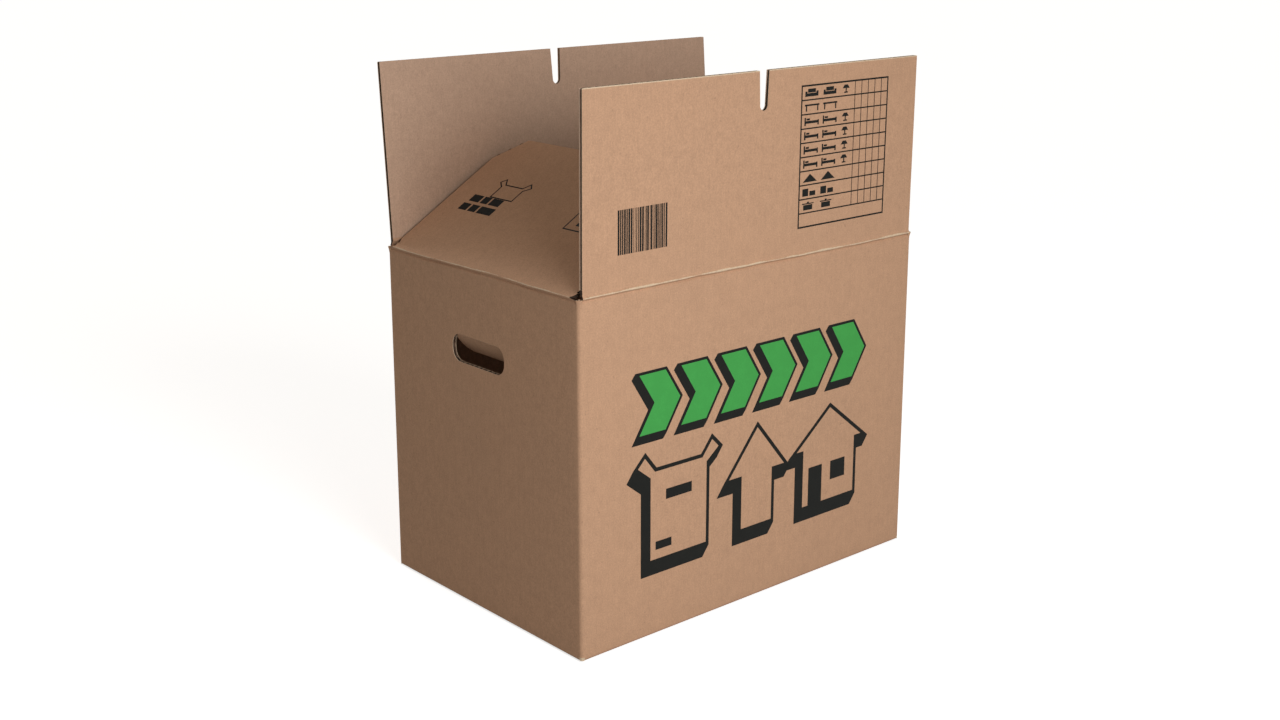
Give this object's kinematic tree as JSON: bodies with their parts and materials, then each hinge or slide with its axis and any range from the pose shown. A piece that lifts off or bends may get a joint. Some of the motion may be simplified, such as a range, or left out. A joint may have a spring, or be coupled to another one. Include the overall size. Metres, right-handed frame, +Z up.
{
  "type": "moving box",
  "caption": "Open moving box of corrugated board with four hinged top flaps and a hand hole in each end.",
  "frame": {"origin": "centre of the base, on the surface that the box stands on", "axes": "+Z up, +X along the long sides to the right of someone who faces the printed front, -Y out of the printed front"},
  "size_m": [0.4888, 0.3441, 0.573],
  "materials": {
    "kraft_board": "unbleached kraft liner, matt, with fine brown fibre specks"
  },
  "bodies": {
    "carton": {"carton_body": "kraft_board"},
    "front_top_flap": {"front_flap": "kraft_board"},
    "back_top_flap": {"back_flap": "kraft_board"},
    "left_top_flap": {"left_end_flap": "kraft_board"},
    "right_top_flap": {"right_end_flap": "kraft_board"}
  },
  "joints": [
    {"name": "front_crease", "type": "hinge", "parent": "carton", "child": "front_top_flap", "pos_m": [0, -0.1644, 0.3736], "axis": [1, 0, 0], "range_deg": [0, 170]},
    {"name": "back_crease", "type": "hinge", "parent": "carton", "child": "back_top_flap", "pos_m": [0, 0.1644, 0.3736], "axis": [-1, 0, 0], "range_deg": [-3.5, 166]},
    {"name": "left_crease", "type": "hinge", "parent": "carton", "child": "left_top_flap", "pos_m": [-0.2444, 0, 0.3736], "axis": [0, -1, 0], "range_deg": [-30, 229]},
    {"name": "right_crease", "type": "hinge", "parent": "carton", "child": "right_top_flap", "pos_m": [0.2444, 0, 0.3736], "axis": [0, 1, 0], "range_deg": [-30, 229]}
  ]
}
